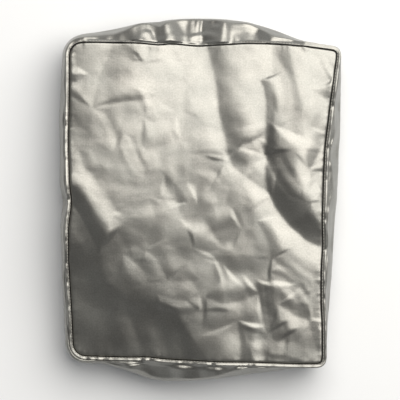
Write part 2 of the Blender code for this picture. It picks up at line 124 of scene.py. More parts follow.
PANEL_CREASES = {
    "centre valley": Crease(
        Flank(0.08, 22, 3), Flank(0.05, 14, 2), 0, 1.2,
        ((0, 184), (9, 166), (14, 148), (18, 128), (20, 106), (23, 88), (28, 68), (33, 48)),
    ),
    "centre valley foot": Crease(
        NONE, Flank(-0.1, 10, 2), 1.5, 1.5, ((22, 57), (40, 57), (52, 54), (62, 52), (76, 46)),
    ),
    "diamond left": Crease(
        Flank(0.01, 9, 2), Flank(-0.09, 10, 1.5), 0.8, 2, ((29, 45), (20, 28), (10, 14), (-4, -8)),
    ),
    "diamond right": Crease(
        Flank(0.1, 13, 1.5), Flank(0.05, 14, 2), 0.6, 1.5, ((26, 44), (45, 30), (58, 20), (84, 2)),
    ),
    "right valley top": Crease(
        Flank(0.2, 8, 3), Flank(0.04, 10, 2), 0.8, 1,
        ((66, 136), (71, 126), (73, 112), (73, 95), (73, 75), (72, 50)),
    ),
    "right valley crest": Crease(
        Flank(-0.05, 6, 1.5), Flank(-0.03, 4, 1), 1, 3, ((80, 143), (83, 126), (86, 112), (90, 92)),
    ),
    "corner valley": Crease(
        Flank(0.1, 32, 1.3), Flank(0.03, 14, 2), 0, 0,
        ((80, 184), (80, 160), (81, 140), (82, 112), (77, 70), (72, 36), (75, 12), (84, -8),
         (100, -29), (118, -45), (142, -57)),
    ),
    "corner crest": Crease(
        Flank(-0.1, 18, 2), NONE, 0, 0,
        ((99, 184), (103, 150), (110, 125), (115, 105), (117, 60), (119, 25), (123, 0), (140, -54)),
    ),
    "right valley foot": Crease(
        Flank(0.09, 30, 1.5), Flank(0.03, 18, 2), 1.2, 0,
        ((77, 92), (75, 60), (72, 36), (76, 12), (84, -8), (100, -29), (118, -45), (142, -57)),
    ),
    "right valley nick": Crease(
        Flank(-0.05, 3, 1.5), Flank(-0.09, 6, 2), 1.5, 1.5,
        ((66, 68), (74, 63), (82, 56), (93, 48)),
    ),
    "right valley slit": Crease(
        Flank(-0.07, 6, 1.5), Flank(-0.05, 5, 1), 2, 2,
        ((76, 57), (84, 43), (88, 34), (95, 23), (104, 12), (114, 0)),
    ),
    "corner tick": Crease(
        Flank(0.15, 4, 1.5), NONE, 0.6, 1.5, ((108, 177), (113, 169), (121, 162)),
    ),
    "corner dip": Crease(
        Flank(0.05, 9, 1.5), Flank(0.03, 8, 1.5), 1.5, 0,
        ((110, 172), (125, 163), (138, 154), (152, 143)),
    ),
    "corner fold": Crease(NONE, Flank(0.15, 4, 1.5), 1.5, 0, ((140, 165), (145, 155), (151, 144))),
    "right pinch": Crease(
        Flank(0.14, 15, 1.5), Flank(0.08, 14, 2), 1.6, 0, ((122, 126), (135, 116), (152, 106)),
    ),
    "right tuck": Crease(
        Flank(0.13, 12, 1.5), Flank(0.06, 10, 1.5), 0.3, 1.2, ((144, 74), (133, 53), (122, 32)),
    ),
    "right tuck foot": Crease(
        Flank(-0.04, 6, 1), Flank(0.06, 8, 1.5), 1.5, 0, ((120, 38), (133, 30), (142, 18)),
    ),
    "right dimple": Crease(
        Flank(0.12, 8, 1.5), Flank(0.04, 7, 1.5), 1, 1, ((131, 22), (123, 10), (120, -4)),
    ),
    "right low tuck": Crease(
        Flank(0.07, 7, 1.5), Flank(0.06, 8, 1.5), 0, 1.5, ((142, -22), (132, -10), (124, 0)),
    ),
    "left corner valley": Crease(
        Flank(0.06, 30, 1.5), Flank(0.06, 18, 1.5), 0, 1.2,
        ((-94, 184), (-104, 160), (-114, 138), (-122, 100)),
    ),
    "top pucker": Crease(
        Flank(0.12, 8, 1.5), Flank(0.06, 9, 1.5), 1.5, 0, ((-63, 152), (-58, 166), (-54, 182)),
    ),
    "top pucker left": Crease(
        Flank(-0.06, 6, 1), Flank(0.07, 6, 1.5), 0, 1.5, ((-75, 182), (-68, 170), (-60, 156)),
    ),
    "top middle pucker": Crease(
        Flank(0.03, 8, 2), Flank(0.05, 9, 1.5), 1.5, 0, ((-22, 150), (-10, 165), (-2, 182)),
    ),
    "left nick": Crease(
        Flank(0.18, 6, 1.5), Flank(0.03, 6, 1.5), 0, 1.5, ((-150, 133), (-138, 132), (-124, 141)),
    ),
    "left nick top": Crease(
        NONE, Flank(0.1, 6, 1.5), 1.5, 1.5, ((-141, 168), (-139, 152), (-133, 138)),
    ),
    "left long one": Crease(
        Flank(-0.05, 7, 1.5), Flank(0.02, 8, 1.5), 2, 2,
        ((-121, 104), (-112, 88), (-103, 70), (-98, 52)),
    ),
    "left long two": Crease(
        Flank(-0.05, 5, 1.5), Flank(0.04, 5, 1.5), 2, 2,
        ((-86, 76), (-80, 56), (-72, 38), (-62, 24)),
    ),
    "left long three": Crease(
        Flank(0.05, 5, 1.5), Flank(0.02, 8, 2), 2, 2, ((-76, 128), (-69, 112), (-61, 94)),
    ),
    "left long four": Crease(
        Flank(0.04, 6, 1.5), Flank(0.03, 6, 2), 2, 2, ((-138, 60), (-131, 44), (-127, 26)),
    ),
    "top long one": Crease(
        Flank(0.03, 8, 1.5), Flank(0.04, 8, 1.5), 2, 2, ((4, 142), (3, 124), (0, 104), (2, 88)),
    ),
    "top long two": Crease(
        Flank(-0.04, 6, 1.5), Flank(0.03, 6, 1.5), 2, 2,
        ((-34, 160), (-27, 148), (-12, 146), (-2, 150)),
    ),
    "middle dip": Crease(
        Flank(0.04, 9, 1.5), Flank(0.06, 12, 1.5), 1.5, 1.5,
        ((-66, 94), (-50, 86), (-36, 90), (-24, 98)),
    ),
    "packing fold high": Crease(
        Flank(0.03, 6, 1.5), Flank(-0.02, 7, 1.5), 2, 2,
        ((-118, 27), (-92, 27), (-70, 24), (-50, 27), (-24, 25)),
    ),
    "packing fold low": Crease(
        Flank(0.01, 5, 1.5), Flank(-0.06, 7, 2), 2, 2,
        ((-102, -12), (-80, -2), (-60, 2), (-42, 5), (-24, 1)),
    ),
    "packing fold down": Crease(
        Flank(0.03, 6, 1.5), Flank(0.02, 8, 1.5), 2, 2,
        ((-24, 70), (-27, 50), (-24, 32), (-27, 14)),
    ),
    "centre nick": Crease(
        Flank(-0.01, 8, 1.5), Flank(-0.08, 9, 1.5), 1.6, 0.5,
        ((-42, 30), (-27, 19), (-20, 11), (-13, -3)),
    ),
    "left pinch": Crease(
        Flank(0.2, 13, 2), Flank(-0.01, 8, 1), 0, 1.6, ((-150, 5), (-134, -18), (-112, -62)),
    ),
    "dark corner edge": Crease(
        NONE, Flank(-0.08, 20, 2), 2, 0,
        ((-117, -30), (-110, -75), (-103, -92), (-85, -105), (-62, -112), (-40, -114), (-28, -124),
         (-15, -145), (0, -165), (10, -184)),
    ),
    "rib one": Crease(
        Flank(0.03, 8, 1.5), Flank(0.06, 13, 1.5), 2, 0,
        ((-90, -106), (-76, -138), (-66, -163), (-62, -182)),
    ),
    "rib two": Crease(
        Flank(0.03, 7, 1.5), Flank(0.03, 9, 1.5), 2, 0,
        ((-56, -110), (-44, -138), (-38, -160), (-37, -182)),
    ),
    "rib three": Crease(
        Flank(0.05, 7, 1.5), Flank(0.04, 9, 1.5), 2, 0,
        ((-40, -114), (-28, -142), (-18, -163), (-12, -183)),
    ),
    "arc": Crease(
        Flank(0.06, 9, 2), Flank(0.05, 7, 2), 1.2, 1.2,
        ((-62, -54), (-50, -65), (-43, -76), (-36, -92)),
    ),
    "middle fold": Crease(
        Flank(0.04, 14, 2), Flank(-0.03, 12, 2), 2, 2,
        ((-104, -16), (-62, -42), (-12, -62), (32, -56)),
    ),
    "middle fold low": Crease(
        Flank(0.03, 10, 2), Flank(0.05, 12, 2), 2, 2,
        ((-90, -56), (-54, -86), (-30, -92), (4, -90)),
    ),
    "middle fold across": Crease(
        Flank(0.05, 10, 2), Flank(0.03, 12, 2), 2, 2,
        ((-58, 6), (-50, -18), (-60, -46), (-78, -70)),
    ),
    "bright ledge": Crease(
        Flank(0.02, 8, 2), Flank(0.1, 7, 1.5), 1.2, 1.2,
        ((-50, -105), (-28, -112), (-14, -112), (2, -106)),
    ),
    "centre step": Crease(
        Flank(0.03, 9, 2), Flank(-0.05, 9, 2), 1.5, 1.5,
        ((-26, -20), (-10, -15), (4, -15), (22, -21)),
    ),
    "centre dip": Crease(
        Flank(0.08, 11, 1.5), Flank(-0.05, 12, 1), 1.2, 1.2,
        ((-8, -56), (12, -40), (24, -34), (48, -32)),
    ),
    "low step": Crease(
        Flank(0.01, 8, 1), Flank(-0.06, 15, 1.5), 1, 0.4,
        ((12, -62), (40, -61), (60, -61), (82, -61)),
    ),
    "crest nick": Crease(
        Flank(0.08, 10, 1.5), Flank(0.03, 7, 1.5), 1, 1,
        ((62, -22), (72, -38), (77, -50), (81, -68)),
    ),
    "low dip left": Crease(
        Flank(0.07, 14, 1.5), Flank(0.04, 9, 1.5), 1, 1, ((26, -70), (10, -98), (0, -126)),
    ),
    "low dip": Crease(
        Flank(0.08, 12, 1.5), Flank(0.07, 14, 1.5), 1, 1,
        ((4, -108), (26, -117), (44, -114), (68, -104)),
    ),
    "low wedge": Crease(
        Flank(0.13, 12, 1.5), Flank(0.06, 16, 2), 1, 0, ((42, -134), (45, -160), (46, -184)),
    ),
    "low wedge crest": Crease(
        Flank(-0.08, 9, 1.5), NONE, 1.5, 0, ((46, -142), (57, -168), (61, -184)),
    ),
    "low strip nick": Crease(
        Flank(0.03, 4, 2), Flank(-0.05, 5, 2), 1.5, 1.5, ((50, -149), (62, -152), (76, -150)),
    ),
    "low strip nick two": Crease(
        Flank(0.03, 4, 2), Flank(-0.06, 5, 2), 1.5, 1.5, ((57, -164), (68, -168), (79, -165)),
    ),
    "long dip": Crease(
        Flank(0.1, 12, 1.5), Flank(0.03, 9, 1.5), 1.2, 1, ((62, -88), (68, -118), (76, -152)),
    ),
    "long dip two": Crease(
        Flank(0.1, 12, 1.5), Flank(-0.04, 4, 1), 1, 1,
        ((76, -88), (80, -118), (82, -134), (88, -160)),
    ),
    "long dip foot": Crease(
        Flank(-0.01, 5, 1), Flank(-0.06, 8, 2), 1, 1,
        ((64, -139), (80, -146), (87, -150), (102, -148)),
    ),
    "branch": Crease(
        Flank(0.08, 5, 1.5), Flank(0.05, 8, 2), 2, 2,
        ((76, -80), (94, -88), (103, -97), (112, -100), (126, -120)),
    ),
    "branch two": Crease(
        Flank(0.06, 5, 1.5), Flank(0.04, 5, 1.5), 1, 2, ((98, -95), (106, -108), (118, -124)),
    ),
    "branch three": Crease(
        Flank(0.05, 6, 1.5), Flank(0.04, 7, 1.5), 1.5, 1.5,
        ((80, -64), (92, -76), (110, -92), (128, -102)),
    ),
    "low right dip": Crease(
        Flank(0.08, 12, 1.5), Flank(0.06, 12, 1.5), 1, 1, ((86, -116), (106, -130), (128, -136)),
    ),
    "low corner line": Crease(
        Flank(0.02, 6, 1.5), Flank(-0.1, 5, 2), 1.5, 0,
        ((74, -172), (94, -173), (108, -177), (130, -184)),
    ),
    "low corner fold": Crease(
        Flank(0.07, 8, 1.5), Flank(0.02, 8, 1.5), 1.5, 0, ((119, -130), (127, -156), (137, -182)),
    ),
}

GUSSET_CREASES = {
    "top one": Crease(Flank(-0.18, 13, 1), Flank(-0.3, 20, 1), 0, 0, ((-88, 204), (-91, 174))),
    "top two": Crease(
        Flank(0.34, 16, 1), Flank(0.3, 16, 1), 0, 0, ((-62, 208), (-58, 196), (-48, 174)),
    ),
    "top three": Crease(
        Flank(0.3, 10, 0.7), Flank(0.2, 18, 1), 0, 0, ((-12, 214), (-16, 196), (-18, 174)),
    ),
    "top four": Crease(
        Flank(-0.6, 3, 1), Flank(-0.5, 3, 1), 0, 0, ((1, 214), (-2, 198), (-2, 172)),
    ),
    "top five": Crease(Flank(0.36, 20, 0.6), NONE, 0, 0, ((4, 214), (4, 196), (4, 172))),
    "top six": Crease(Flank(-0.3, 6, 1), Flank(0.2, 5, 1), 2, 1, ((5, 202), (10, 196), (16, 189))),
    "top seven": Crease(
        Flank(-0.3, 6, 1), Flank(0.2, 5, 1), 1, 2, ((13, 208), (20, 199), (27, 192)),
    ),
    "top eight": Crease(
        Flank(-0.26, 18, 1), Flank(-0.12, 10, 1), 0, 0,
        ((28, 212), (31, 196), (38, 186), (46, 174)),
    ),
    "top nine": Crease(
        Flank(-0.22, 16, 1), Flank(-0.32, 16, 1), 0, 0, ((97, 200), (90, 193), (74, 174)),
    ),
    "top ten": Crease(Flank(0.25, 12, 1), Flank(0.1, 10, 1), 0, 0, ((-118, 196), (-121, 174))),
    "top small": Crease(Flank(0.4, 5, 1), Flank(0.2, 6, 1), 1, 0, ((-66, 190), (-58, 176))),
    "right one": Crease(Flank(0.5, 7, 1.5), Flank(0.5, 7, 1.5), 0, 0, ((142, 108), (164, 98))),
    "right two": Crease(Flank(-0.35, 12, 1), Flank(-0.3, 10, 1), 0, 0, ((136, 52), (164, 82))),
    "right three": Crease(Flank(0.3, 9, 1), Flank(0.35, 9, 1), 0, 0, ((136, 56), (164, 44))),
    "right four": Crease(Flank(-0.3, 8, 1), Flank(-0.35, 10, 1), 0, 0, ((134, 18), (164, 34))),
    "right five": Crease(Flank(0.35, 8, 1), Flank(0.4, 8, 1), 0, 0, ((134, -20), (160, -42))),
    "right six": Crease(Flank(0.45, 8, 1), Flank(0.45, 8, 1), 0, 0, ((134, -56), (160, -64))),
    "right seven": Crease(Flank(0.3, 8, 1), Flank(0.35, 8, 1), 0, 0, ((132, -110), (158, -118))),
    "right eight": Crease(Flank(-0.3, 9, 1), Flank(-0.2, 9, 1), 0, 0, ((140, 140), (164, 150))),
    "bottom one": Crease(Flank(-0.1, 9, 1), Flank(0.4, 16, 1), 0, 0, ((-60, -174), (-62, -210))),
    "bottom two": Crease(Flank(0.5, 9, 1.5), Flank(0.9, 9, 1), 0, 0, ((54, -178), (64, -206))),
    "bottom three": Crease(Flank(0.2, 16, 1), Flank(0.25, 16, 1), 0, 0, ((-6, -174), (4, -216))),
    "bottom four": Crease(Flank(0.2, 12, 1), Flank(0.25, 14, 1), 0, 0, ((100, -178), (108, -206))),
    "bottom five": Crease(Flank(0.2, 9, 1), Flank(0.3, 9, 1), 0, 0, ((-106, -172), (-112, -202))),
    "left one": Crease(Flank(0.6, 7, 1.5), Flank(0.5, 6, 1.5), 0, 0, ((-140, 1), (-166, 0))),
    "left two": Crease(Flank(0.3, 9, 1), Flank(0.25, 9, 1), 0, 0, ((-140, 84), (-166, 78))),
    "left three": Crease(Flank(0.25, 9, 1), Flank(0.25, 9, 1), 0, 0, ((-140, 42), (-166, 52))),
    "left four": Crease(Flank(0.3, 9, 1), Flank(0.25, 9, 1), 0, 0, ((-138, -62), (-164, -68))),
    "left five": Crease(Flank(0.25, 9, 1), Flank(0.3, 10, 1), 0, 0, ((-138, -100), (-164, -96))),
    "left six": Crease(Flank(0.3, 8, 1), Flank(0.25, 9, 1), 0, 0, ((-140, 136), (-166, 142))),
    "corner facet": Crease(
        Flank(0.5, 6, 1.5), Flank(0.4, 6, 1.5), 0, 0, ((-138, -166), (-154, -174)),
    ),
    "corner facet two": Crease(
        Flank(0.4, 6, 1.5), Flank(0.5, 6, 1.5), 0, 0, ((-130, -172), (-140, -190)),
    ),
}

# The gusset's upper face is a shelf that falls at SHELF_SLOPE from the ridge and stands at most
# SHELF_MOST of its width above the solid. At its outer edge it drops to the solid's widest line.
GUSSET_CREASE_FADE = 5.0
SHELF_SLOPE = 0.45
SHELF_MOST = 0.72
SHELF_CRUMPLE = 0.4
SHELF_EDGE = 40
ROLL_ROWS = 8
ROLL_END = slice(ROLL_ROWS + 1, ROLL_ROWS + 2)
TOP_FACING = 0.6
TOP_BLEND = 0.3
TOP_FACET_START = 0.4
TOP_FACET_FADE = 2.5
TOP_STRIP_UP = 0.35
TOP_STRIP_SLOPE = -0.1

# Nicks in the rolled ridge: the place nearest to them, how long and how deep
Nick = namedtuple("Nick", "x y long deep")

ROLL_NICKS = (
    Nick(-152, 84, 3.5, 0.9), Nick(-150, 63, 3.0, 0.8), Nick(-150, 45, 2.5, 0.9),
    Nick(-150, 1, 3.0, 1.6), Nick(-148, -46, 3.0, 0.7), Nick(-147, -70, 5.0, 0.9),
    Nick(-147, -92, 3.0, 0.9), Nick(-146, -120, 4.0, 0.8), Nick(-140, -172, 4.0, 1.0),
    Nick(-128, -178, 3.0, 1.0), Nick(-110, -178, 3.0, 0.8), Nick(-67, -179, 1.6, 1.4),
    Nick(-57, -179, 2.6, 1.2), Nick(-21, -180, 2.0, 0.7), Nick(13, -183, 2.2, 1.4),
    Nick(53, -184, 1.6, 1.2), Nick(59, -185, 3.0, 1.4), Nick(80, -185, 2.4, 0.7),
    Nick(-97, 179, 3.0, 0.8), Nick(-58, 179, 3.0, 1.3), Nick(-49, 178, 2.2, 1.0),
    Nick(-2, 176, 2.4, 1.2), Nick(27, 176, 2.4, 1.2), Nick(80, 177, 2.2, 1.2),
    Nick(113, 176, 3.0, 0.8), Nick(147, 106, 3.0, 1.6), Nick(143, 58, 3.0, 1.0),
    Nick(140, 22, 2.4, 1.0), Nick(139, -22, 2.6, 1.0), Nick(138, -56, 2.6, 1.4),
    Nick(138, -80, 3.0, 0.8), Nick(138, -112, 3.0, 1.0),
)

# Broad soft swells (sinkings where rise is negative), by their middle, reach and direction
Swell = namedtuple("Swell", "x y long wide turn rise")

PANEL_SWELLS = {
    "left swell": Swell(-100, 5, 75, 60, 60, 5.0),
    "top sinking": Swell(0, 172, 80, 65, 30, -5.5),
    "low sinking": Swell(-135, -195, 120, 100, -20, -6.5),
    "low right swell": Swell(105, -75, 45, 35, -40, 1.5),
    "top right swell": Swell(128, 140, 40, 30, 0, 1.5),
}
CREASE_ROUND = 1.0
SHOULDER = 0.12
LEAST_TAPER = 0.001

# Crumple between the creases. A wave is one layer of noise: its height, how many times finer than
# the crumple's cell it is, and where in the noise it is taken. Facets are the flat-sided cells.
Wave = namedtuple("Wave", "height finer level")

PANEL_CELL = 34.0
PANEL_FACETS = 0.42
PANEL_WARP = (0.8, 0.7)
PANEL_FACET_WAVE = Wave(0.10, 3.1, 0.0)
PANEL_WAVES = (Wave(0.8, 0.85, 4.0), Wave(0.28, 1.9, 0.0), Wave(0.035, 7.0, 0.0))
LEAST_ZONE = 0.35
ZONE_CONTRAST = 0.9
ZONE_FINER = 0.45
GUSSET_CELL = 24.0
GUSSET_CELL_TALLER = 0.6
GUSSET_FACETS = 1.5
GUSSET_WARP = (0.7, 0.6)
GUSSET_WAVE = Wave(0.4, 2.4, 0.0)
RIPPLE = Wave(2.4, 1.1, 9.0)
RIPPLE_TALLER = 0.4
# The gusset's crumple grows over RELIEF_RUN from the ridge and over RELIEF_FOOT from the surface.
# At the widest line WIDEST_KEPT of it is left on the wall, and SHELF_KEPT on the shelf.
RELIEF_RUN = 8.0
RELIEF_FOOT = 12.0
WIDEST_KEPT = 0.2
WIDEST_REACH = 0.08
SHELF_KEPT = 0.2

# Unevenness along the seam: each layer's height, its length and its row in the noise
PUCKERS = ((0.5, 7.0, 3.1), (0.35, 3.2, 7.7))
RIDGE_UNEVEN = 0.18
RIDGE_UNEVEN_RUN = 9.0
NICK_SHARE = 0.55


def smooth_step(share):
    share = np.clip(share, 0.0, 1.0)
    return share * share * (3.0 - 2.0 * share)


def across_path(path, x, y):
    """How far each point lies left of a path (negative if right), how far along, and its length."""
    path = np.array(path, float)
    lengths = np.linalg.norm(np.diff(path, axis=0), axis=1)
    starts = np.concatenate(([0.0], np.cumsum(lengths)))
    nearest = np.full(x.shape, np.inf)
    offset = np.zeros(x.shape)
    along = np.zeros(x.shape)
    for (ax, ay), (bx, by), length, start in zip(path[:-1], path[1:], lengths, starts):
        dx, dy = (bx - ax) / length, (by - ay) / length
        run = np.clip((x - ax) * dx + (y - ay) * dy, 0.0, length)
        away = np.hypot(x - ax - run * dx, y - ay - run * dy)
        side = np.where((y - ay) * dx - (x - ax) * dy >= 0.0, 1.0, -1.0)
        closer = away < nearest
        nearest = np.where(closer, away, nearest)
        offset = np.where(closer, away * side, offset)
        along = np.where(closer, start + run, along)
    return offset, along, starts[-1]


def flank_height(flank, away):
    """A flank's height at a distance from its crease: up to a soft shoulder, and slowly back."""
    share = (np.hypot(away, CREASE_ROUND) - CREASE_ROUND) / flank.width
    up = 0.5 * (share + 1.0 - np.sqrt((share - 1.0) ** 2 + SHOULDER))
    up -= 0.5 * (1.0 - math.sqrt(1.0 + SHOULDER))
    return flank.slope * flank.width * up * (1.0 - smooth_step((share - 1.0) / flank.back))


def crease_height(creases, x, y):
    """How far the creases lift the cloth at each point."""
    height = np.zeros(x.shape)
    for crease in creases:
        offset, along, length = across_path(crease.path, x, y)
        for flank, hand in ((crease.left, offset >= 0.0), (crease.right, offset < 0.0)):
            taper = np.ones(x.shape)
            if crease.start:
                taper = np.minimum(taper, smooth_step(along / (crease.start * flank.width)))
            if crease.end:
                taper = np.minimum(taper, smooth_step((length - along) / (crease.end * flank.width)))
            taper = np.maximum(taper, LEAST_TAPER)
            height += np.where(hand, taper * flank_height(flank, np.abs(offset) / taper), 0.0)
    return height


def swell_height(swells, x, y):
    """How far the swells lift the cloth at each point."""
    height = np.zeros(x.shape)
    for swell in swells:
        turn = math.radians(swell.turn)
        along = (x - swell.x) * math.cos(turn) + (y - swell.y) * math.sin(turn)
        across = (y - swell.y) * math.cos(turn) - (x - swell.x) * math.sin(turn)
        height += swell.rise * np.exp(-((along / swell.long) ** 2) - (across / swell.wide) ** 2)
    return height


def blurred(values, spread, closed=False, axis=0):
    """Values smoothed along one axis, with a bell curve of the given spread in steps."""
    reach = int(3 * spread) + 1
    steps = np.arange(-reach, reach + 1)
    bell = np.exp(-0.5 * (steps / spread) ** 2)
    bell /= bell.sum()
    padding = [(0, 0)] * values.ndim
    padding[axis] = (reach, reach)
    if closed:
        wide = np.pad(values, padding, mode="wrap")
    else:
        wide = np.pad(values, padding, mode="reflect", reflect_type="odd")
    count = values.shape[axis]
    parts = [bell[k] * np.take(wide, np.arange(k, k + count), axis=axis) for k in range(len(steps))]
    return np.sum(parts, axis=0)


def solid_tree(node):
    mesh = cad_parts[node].data
    points = [vertex.co / MM for vertex in mesh.vertices]
    return BVHTree.FromPolygons(points, [face.vertices[:] for face in mesh.polygons])


def hit(tree, start, way):
    """Where a ray first meets the solid, or None."""
    place, _, _, _ = tree.ray_cast(Vector(start), Vector(way).normalized())
    return None if place is None else np.array(place)


class SeamLine:
    """The seam round the panel, read from the panel solid's turned-down edge.

    Stations run clockwise from the top left corner, evenly spaced. It gives each one's place,
    its outward normal, and for each side the places of its stations by their share of the side.
    """

    FLAP_LEVELS = range(38, 68, 2)
    FAR = 400.0

    def __init__(self, tree):
        outline = []
        for angle in np.linspace(0, 2 * math.pi, SEAM_RAYS, endpoint=False):
            way = np.array((math.sin(angle), math.cos(angle), 0.0))
            starts = [way * self.FAR + (0, 0, level) for level in self.FLAP_LEVELS]
            hits = [place for place in (hit(tree, start, -way) for start in starts) if place is not None]
            outline.append(max(hits, key=lambda place: place @ way)[:2])
        outline = np.array(outline)
        outline = np.roll(outline, -int(np.argmax(outline @ (-1, 1))), axis=0)
        closed = np.concatenate((outline, outline[:1]))
        runs = np.concatenate(([0.0], np.cumsum(np.linalg.norm(np.diff(closed, axis=0), axis=1))))
        self.length = runs[-1]
        self.count = GUSSET_CELLS[0]
        self.step = self.length / self.count
        at = np.arange(self.count) * self.step
        points = np.column_stack([np.interp(at, runs, closed[:, k]) for k in (0, 1)])
        self.points = blurred(points, 1.2, closed=True)
        tangents = blurred(np.roll(points, -2, axis=0) - np.roll(points, 2, axis=0), 1.5, closed=True)
        normals = np.column_stack((-tangents[:, 1], tangents[:, 0]))
        self.normals = normals / np.linalg.norm(normals, axis=1)[:, None]
        corners = [int(np.argmax(self.points @ way)) for way in ((-1, 1), (1, 1), (1, -1), (-1, -1))]
        self.corners = [0, *corners[1:], self.count]

    def side(self, number, share, ring):
        """Places on the ring at these shares of one side, clockwise."""
        first, last = self.corners[number], self.corners[number + 1]
        closed = np.concatenate((ring, ring[:1]))
        at = first + np.asarray(share) * (last - first)
        steps = np.arange(self.count + 1)
        return np.stack([np.interp(at, steps, closed[:, k]) for k in range(ring.shape[1])], axis=-1)

    def shares(self):
        """Each station's place on the panel, as shares of its width and its height."""
        s, t = np.zeros(self.count), np.zeros(self.count)
        for number in range(4):
            first, last = self.corners[number], self.corners[number + 1]
            share = (np.arange(first, last) - first) / (last - first)
            s[first:last] = (share, np.ones_like(share), 1 - share, np.zeros_like(share))[number]
            t[first:last] = (np.zeros_like(share), share, np.ones_like(share), 1 - share)[number]
        return s, t

    def plan(self, s, t):
        """The panel's plan places at shares s of its width and t of its height."""
        ring = self.points - self.normals * EDGE_INSET
        top, right = self.side(0, s, ring), self.side(1, t, ring)
        bottom, left = self.side(2, 1 - s, ring), self.side(3, 1 - t, ring)
        corners = [self.side(k, np.zeros(1), ring)[0] for k in range(4)]
        s, t = s[..., None], t[..., None]
        twice = (1 - s) * ((1 - t) * corners[0] + t * corners[3])
        twice += s * ((1 - t) * corners[1] + t * corners[2])
        return (1 - t) * top + t * bottom + (1 - s) * left + s * right - twice


class PanelSurface:
    """The front panel's height, from its solid, smoothed over the solid's flat faces."""

    RASTER = (121, 151)
    SMOOTHING = 2.4
    ABOVE = 200.0
    # Keeps the rays at the rim on the solid's upper face
    INSIDE = 0.998

    def __init__(self, tree, seam):
        s, t = np.meshgrid(
            np.linspace(0, 1, self.RASTER[0]), np.linspace(0, 1, self.RASTER[1]), indexing="ij"
        )
        plan = seam.plan(s, t)
        centre = plan.mean(axis=(0, 1))
        plan = centre + (plan - centre) * self.INSIDE
        heights = np.zeros(s.shape)
        for index in np.ndindex(s.shape):
            place = hit(tree, (*plan[index], self.ABOVE), (0, 0, -1))
            heights[index] = place[2]
        for axis in (0, 1):
            heights = blurred(heights, self.SMOOTHING, axis=axis)
        self.heights = heights

    def base(self, s, t):
        across = np.clip(s, 0, 1) * (self.RASTER[0] - 1)
        down = np.clip(t, 0, 1) * (self.RASTER[1] - 1)
        i = np.minimum(across.astype(int), self.RASTER[0] - 2)
        j = np.minimum(down.astype(int), self.RASTER[1] - 2)
        a, b = across - i, down - j
        h = self.heights
        near = (1 - a) * h[i, j] + a * h[i + 1, j]
        far = (1 - a) * h[i, j + 1] + a * h[i + 1, j + 1]
        return (1 - b) * near + b * far

    def height(self, s, t, x, y):
        creases = crease_height(PANEL_CREASES.values(), x, y)
        swells = swell_height(PANEL_SWELLS.values(), x, y)
        return self.base(s, t) + creases + swells + crumple(x, y)


def wave_height(wave, place):
    return wave.height * noise.noise(place * wave.finer + Vector((0.0, 0.0, wave.level)))


def facets(place, finer, warp):
    """0 at the borders of the cells, rising to each cell's middle; the cells are warped."""
    near = noise.voronoi(place + noise.noise_vector(place * finer) * warp)[0]
    return near[1] - near[0]


def crumple(x, y):
    """The faint, uneven crumple of stiff coated cloth between its creases, stronger in places."""
    height = np.zeros(x.shape)
    for index in np.ndindex(x.shape):
        place = Vector((x[index] / PANEL_CELL, y[index] / PANEL_CELL, 0.0))
        zone = smooth_step(0.5 + ZONE_CONTRAST * noise.noise(place * ZONE_FINER))
        zone = LEAST_ZONE + (1.0 - LEAST_ZONE) * zone
        cells = PANEL_FACETS * facets(place, *PANEL_WARP) + wave_height(PANEL_FACET_WAVE, place)
        height[index] = zone * cells + sum(wave_height(wave, place) for wave in PANEL_WAVES)
    return height


def puckers(runs):
    """How far the sewn edge is drawn up and down along the seam."""
    return np.array([
        sum(height * noise.noise(Vector((run / length, row, 0.0))) for height, length, row in PUCKERS)
        for run in runs
    ])


def new_mesh_object(name, sheet):
    mesh = bpy.data.meshes.new(name)
    sheet.to_mesh(mesh)
    sheet.free()
    mesh.shade_smooth()
    piece = bpy.data.objects.new(name, mesh)
    bpy.context.scene.collection.objects.link(piece)
    return piece


def give_cloth(piece, outer, inner):
    """The cloth's thickness, with its uncoated side inside."""
    piece.data.materials.append(outer)
    piece.data.materials.append(inner)
    solidify = piece.modifiers.new("cloth", "SOLIDIFY")
    solidify.thickness = CLOTH * MM
    solidify.offset = -1.0
    solidify.material_offset = 1
    solidify.material_offset_rim = 0


def make_front_panel(seam, surface, outer, inner):
    """The panel's sheet on its solid's folds, with its edge turned down inside the seam."""
    sheet = bmesh.new()
    bmesh.ops.create_grid(sheet, x_segments=PANEL_CELLS[0], y_segments=PANEL_CELLS[1], size=1.0)
    grid = np.array([vertex.co[:2] for vertex in sheet.verts])
    s, t = (grid[:, 0] + 1) / 2, (1 - grid[:, 1]) / 2
    plan = seam.plan(s, t)
    height = surface.height(s, t, plan[:, 0], plan[:, 1])
    stations, away = nearest_station(seam, plan)
    height += seam_pucker(seam, stations) * np.exp(-((away / PUCKER_REACH) ** 2))
    height -= SEAM_DITCH * np.exp(-((away / SEAM_DITCH_REACH) ** 2))
    for vertex, place, level in zip(sheet.verts, plan, height):
        vertex.co = Vector((place[0], place[1], level)) * MM
    edges = [edge for edge in sheet.edges if edge.is_boundary]
    for out, drop in ((FLAP_TURN_OUT, FLAP_TURN_DOWN), (0.0, FLAP_DEPTH - FLAP_TURN_DOWN)):
        made = bmesh.ops.extrude_edge_only(sheet, edges=edges)["geom"]
        rim_vertices = [item for item in made if isinstance(item, bmesh.types.BMVert)]
        edges = [item for item in made if isinstance(item, bmesh.types.BMEdge) and item.is_boundary]
        places = np.array([vertex.co[:2] for vertex in rim_vertices]) / MM
        stations, _ = nearest_station(seam, places)
        for vertex, station in zip(rim_vertices, stations):
            normal = seam.normals[int(round(station)) % seam.count]
            vertex.co += Vector((*(normal * out), -drop)) * MM
    bmesh.ops.recalc_face_normals(sheet, faces=sheet.faces)
    piece = new_mesh_object("front_panel_sheet", sheet)
    give_cloth(piece, outer, inner)
    return piece


